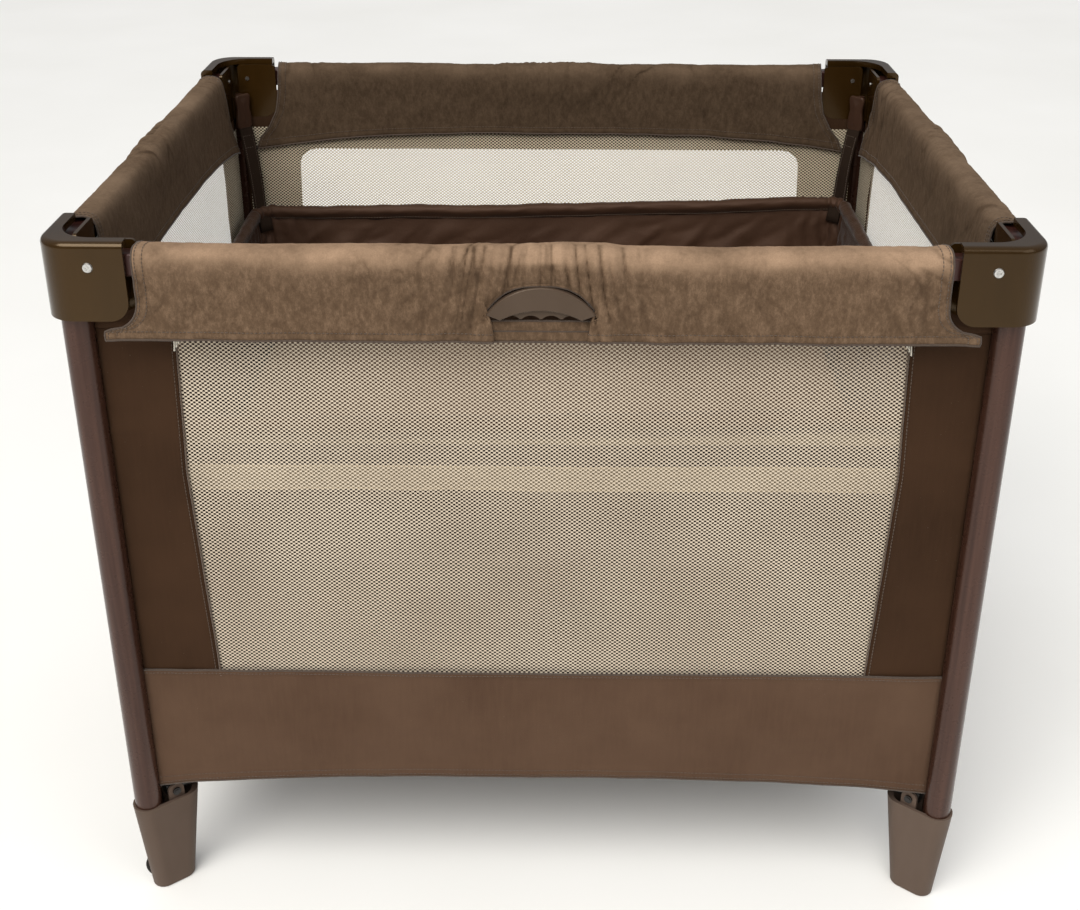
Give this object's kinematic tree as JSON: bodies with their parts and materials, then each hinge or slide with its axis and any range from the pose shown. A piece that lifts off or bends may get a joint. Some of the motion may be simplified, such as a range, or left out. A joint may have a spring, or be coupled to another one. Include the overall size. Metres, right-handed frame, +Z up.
{
  "type": "folding play yard",
  "caption": "Folding baby play yard with mesh sides, corner guards, fold-down rails and a hanging bassinet tray.",
  "frame": {"origin": "on the ground under the middle of the frame", "axes": "+X along the long sides, +Y towards the back long side, +Z up"},
  "size_m": [1.052, 0.842, 0.89],
  "materials": {
    "leg_tube": "brown metallic paint",
    "guard_plastic": "glossy dark brown",
    "foot_plastic": "matte grey brown",
    "screws": "zinc plated",
    "rail_tube": "dark reddish brown paint",
    "latch_plastic": "black brown",
    "handle_plastic": "satin grey brown",
    "floor_tube": "black",
    "hub_plastic": "black",
    "caster_plastic": "black",
    "cover_suede": "brushed suede-like cloth",
    "panel_cloth": "plain woven border with a cream mesh window",
    "floor_fabric": "plain woven",
    "tray_cloth": "dark satin-like cloth",
    "hanger_plastic": "dark brown",
    "mattress_cloth": "quilted cloth"
  },
  "bodies": {
    "leg_front_left": {"leg_front_left": "leg_tube", "corner_guard_front_left": "guard_plastic", "guard_screws_front_left": "screws", "foot_front_left": "foot_plastic", "front_panel": "panel_cloth", "left_panel": "panel_cloth"},
    "floor_tube_front_left": {"floor_tube_front_left": "floor_tube", "floor_tube_pins_front_left": "screws"},
    "leg_front_right": {"leg_front_right": "leg_tube", "corner_guard_front_right": "guard_plastic", "guard_screws_front_right": "screws", "foot_front_right": "foot_plastic", "right_panel": "panel_cloth"},
    "floor_tube_front_right": {"floor_tube_front_right": "floor_tube", "floor_tube_pins_front_right": "screws"},
    "leg_back_left": {"leg_back_left": "leg_tube", "corner_guard_back_left": "guard_plastic", "guard_screws_back_left": "screws", "foot_back_left": "foot_plastic", "back_panel": "panel_cloth"},
    "floor_tube_back_left": {"floor_tube_back_left": "floor_tube", "floor_tube_pins_back_left": "screws"},
    "leg_back_right": {"leg_back_right": "leg_tube", "corner_guard_back_right": "guard_plastic", "guard_screws_back_right": "screws", "foot_back_right": "foot_plastic"},
    "floor_tube_back_right": {"floor_tube_back_right": "floor_tube", "floor_tube_pins_back_right": "screws"},
    "floor_hub": {"floor_hub": "hub_plastic", "floor_cloth": "floor_fabric"},
    "caster_front_left": {"caster_wheel_front_left": "caster_plastic"},
    "caster_back_left": {"caster_wheel_back_left": "caster_plastic"},
    "front_rail_left": {"front_rail_left": "rail_tube"},
    "front_rail_right": {"front_rail_right": "rail_tube"},
    "back_rail_left": {"back_rail_left": "rail_tube"},
    "back_rail_right": {"back_rail_right": "rail_tube"},
    "left_rail_front": {"left_rail_front": "rail_tube"},
    "left_rail_back": {"left_rail_back": "rail_tube"},
    "right_rail_front": {"right_rail_front": "rail_tube"},
    "right_rail_back": {"right_rail_back": "rail_tube"},
    "front_latch": {"front_latch": "latch_plastic", "front_latch_pins": "screws", "front_rail_cover": "cover_suede"},
    "front_handle": {"front_handle": "handle_plastic"},
    "back_latch": {"back_latch": "latch_plastic", "back_latch_pins": "screws", "back_rail_cover": "cover_suede"},
    "back_handle": {"back_handle": "handle_plastic"},
    "left_latch": {"left_latch": "latch_plastic", "left_latch_pins": "screws", "left_rail_cover": "cover_suede"},
    "left_handle": {"left_handle": "handle_plastic"},
    "right_latch": {"right_latch": "latch_plastic", "right_latch_pins": "screws", "right_rail_cover": "cover_suede"},
    "right_handle": {"right_handle": "handle_plastic"},
    "bassinet": {"bassinet_tray": "tray_cloth", "bassinet_rim_tube": "rail_tube", "bassinet_hangers": "hanger_plastic", "mattress": "mattress_cloth"}
  },
  "joints": [
    {"name": "frame_fold", "type": "hinge", "parent": "leg_front_left", "child": "floor_tube_front_left", "pos_m": [-0.467, -0.36816, 0.144], "axis": [0.6042, -0.7968, 0], "range_deg": [0, 78], "deforming": ["front_panel", "back_panel", "left_panel", "right_panel", "front_rail_cover", "back_rail_cover", "left_rail_cover", "right_rail_cover", "floor_cloth"]},
    {"name": "hub_level", "type": "hinge", "parent": "floor_tube_front_left", "child": "floor_hub", "pos_m": [-0.0325, -0.03866, 0.144], "axis": [0.6042, -0.7968, 0], "range_deg": [-78, 0]},
    {"name": "floor_fold_front_right", "type": "hinge", "parent": "floor_hub", "child": "floor_tube_front_right", "pos_m": [0.0325, -0.03866, 0.144], "axis": [0.6042, 0.7968, 0], "range_deg": [0, 78]},
    {"name": "leg_level_front_right", "type": "hinge", "parent": "floor_tube_front_right", "child": "leg_front_right", "pos_m": [0.467, -0.36816, 0.144], "axis": [0.6042, 0.7968, 0], "range_deg": [-78, 0]},
    {"name": "floor_fold_back_left", "type": "hinge", "parent": "floor_hub", "child": "floor_tube_back_left", "pos_m": [-0.0325, 0.03866, 0.144], "axis": [-0.6042, -0.7968, 0], "range_deg": [0, 78]},
    {"name": "leg_level_back_left", "type": "hinge", "parent": "floor_tube_back_left", "child": "leg_back_left", "pos_m": [-0.467, 0.36816, 0.144], "axis": [-0.6042, -0.7968, 0], "range_deg": [-78, 0]},
    {"name": "floor_fold_back_right", "type": "hinge", "parent": "floor_hub", "child": "floor_tube_back_right", "pos_m": [0.0325, 0.03866, 0.144], "axis": [-0.6042, 0.7968, 0], "range_deg": [0, 78]},
    {"name": "leg_level_back_right", "type": "hinge", "parent": "floor_tube_back_right", "child": "leg_back_right", "pos_m": [0.467, 0.36816, 0.144], "axis": [-0.6042, 0.7968, 0], "range_deg": [-78, 0]},
    {"name": "front_rail_left_fold", "type": "hinge", "parent": "leg_front_left", "child": "front_rail_left", "pos_m": [-0.4645, -0.398, 0.863], "axis": [0, 1, 0], "range_deg": [0, 78]},
    {"name": "front_latch_level", "type": "hinge", "parent": "front_rail_left", "child": "front_latch", "pos_m": [-0.03, -0.398, 0.863], "axis": [0, 1, 0], "range_deg": [-78, 0]},
    {"name": "front_rail_right_fold", "type": "hinge", "parent": "front_latch", "child": "front_rail_right", "pos_m": [0.03, -0.398, 0.863], "axis": [0, 1, 0], "range_deg": [-78, 0]},
    {"name": "back_rail_left_fold", "type": "hinge", "parent": "leg_back_left", "child": "back_rail_left", "pos_m": [-0.4645, 0.398, 0.863], "axis": [0, 1, 0], "range_deg": [0, 78]},
    {"name": "back_latch_level", "type": "hinge", "parent": "back_rail_left", "child": "back_latch", "pos_m": [-0.03, 0.398, 0.863], "axis": [0, 1, 0], "range_deg": [-78, 0]},
    {"name": "back_rail_right_fold", "type": "hinge", "parent": "back_latch", "child": "back_rail_right", "pos_m": [0.03, 0.398, 0.863], "axis": [0, 1, 0], "range_deg": [-78, 0]},
    {"name": "left_rail_front_fold", "type": "hinge", "parent": "leg_front_left", "child": "left_rail_front", "pos_m": [-0.503, -0.3595, 0.863], "axis": [-1, 0, 0], "range_deg": [0, 78]},
    {"name": "left_latch_level", "type": "hinge", "parent": "left_rail_front", "child": "left_latch", "pos_m": [-0.503, -0.03, 0.863], "axis": [-1, 0, 0], "range_deg": [-78, 0]},
    {"name": "left_rail_back_fold", "type": "hinge", "parent": "left_latch", "child": "left_rail_back", "pos_m": [-0.503, 0.03, 0.863], "axis": [-1, 0, 0], "range_deg": [-78, 0]},
    {"name": "right_rail_front_fold", "type": "hinge", "parent": "leg_front_right", "child": "right_rail_front", "pos_m": [0.503, -0.3595, 0.863], "axis": [-1, 0, 0], "range_deg": [0, 78]},
    {"name": "right_latch_level", "type": "hinge", "parent": "right_rail_front", "child": "right_latch", "pos_m": [0.503, -0.03, 0.863], "axis": [-1, 0, 0], "range_deg": [-78, 0]},
    {"name": "right_rail_back_fold", "type": "hinge", "parent": "right_latch", "child": "right_rail_back", "pos_m": [0.503, 0.03, 0.863], "axis": [-1, 0, 0], "range_deg": [-78, 0]},
    {"name": "front_handle_lift", "type": "slide", "parent": "front_latch", "child": "front_handle", "axis": [0, 0, 1], "range_m": [0, 0.008], "stiffness_N_per_m": 300, "springref_m": -0.004},
    {"name": "back_handle_lift", "type": "slide", "parent": "back_latch", "child": "back_handle", "axis": [0, 0, 1], "range_m": [0, 0.008], "stiffness_N_per_m": 300, "springref_m": -0.004},
    {"name": "left_handle_lift", "type": "slide", "parent": "left_latch", "child": "left_handle", "axis": [0, 0, 1], "range_m": [0, 0.008], "stiffness_N_per_m": 300, "springref_m": -0.004},
    {"name": "right_handle_lift", "type": "slide", "parent": "right_latch", "child": "right_handle", "axis": [0, 0, 1], "range_m": [0, 0.008], "stiffness_N_per_m": 300, "springref_m": -0.004},
    {"name": "caster_spin_front_left", "type": "hinge", "parent": "leg_front_left", "child": "caster_front_left", "pos_m": [-0.49, -0.379, 0.023], "axis": [0, 1, 0], "continuous": true},
    {"name": "caster_spin_back_left", "type": "hinge", "parent": "leg_back_left", "child": "caster_back_left", "pos_m": [-0.49, 0.379, 0.023], "axis": [0, 1, 0], "continuous": true},
    {"name": "bassinet_lift", "type": "slide", "parent": "floor_hub", "child": "bassinet", "axis": [0, 0, 1], "range_m": [0, 0.685]}
  ],
  "couplings": [
    {"joint": "hub_level", "follows": "frame_fold", "ratio": -1},
    {"joint": "floor_fold_front_right", "follows": "frame_fold", "ratio": 1},
    {"joint": "leg_level_front_right", "follows": "frame_fold", "ratio": -1},
    {"joint": "floor_fold_back_left", "follows": "frame_fold", "ratio": 1},
    {"joint": "leg_level_back_left", "follows": "frame_fold", "ratio": -1},
    {"joint": "floor_fold_back_right", "follows": "frame_fold", "ratio": 1},
    {"joint": "leg_level_back_right", "follows": "frame_fold", "ratio": -1},
    {"joint": "front_rail_left_fold", "follows": "frame_fold", "ratio": 1},
    {"joint": "front_latch_level", "follows": "frame_fold", "ratio": -1},
    {"joint": "front_rail_right_fold", "follows": "frame_fold", "ratio": -1},
    {"joint": "back_rail_left_fold", "follows": "frame_fold", "ratio": 1},
    {"joint": "back_latch_level", "follows": "frame_fold", "ratio": -1},
    {"joint": "back_rail_right_fold", "follows": "frame_fold", "ratio": -1},
    {"joint": "left_rail_front_fold", "follows": "frame_fold", "ratio": 1},
    {"joint": "left_latch_level", "follows": "frame_fold", "ratio": -1},
    {"joint": "left_rail_back_fold", "follows": "frame_fold", "ratio": -1},
    {"joint": "right_rail_front_fold", "follows": "frame_fold", "ratio": 1},
    {"joint": "right_latch_level", "follows": "frame_fold", "ratio": -1},
    {"joint": "right_rail_back_fold", "follows": "frame_fold", "ratio": -1},
    {"joint": "bassinet_lift", "follows": "frame_fold", "m_per_rad": 0.5}
  ]
}
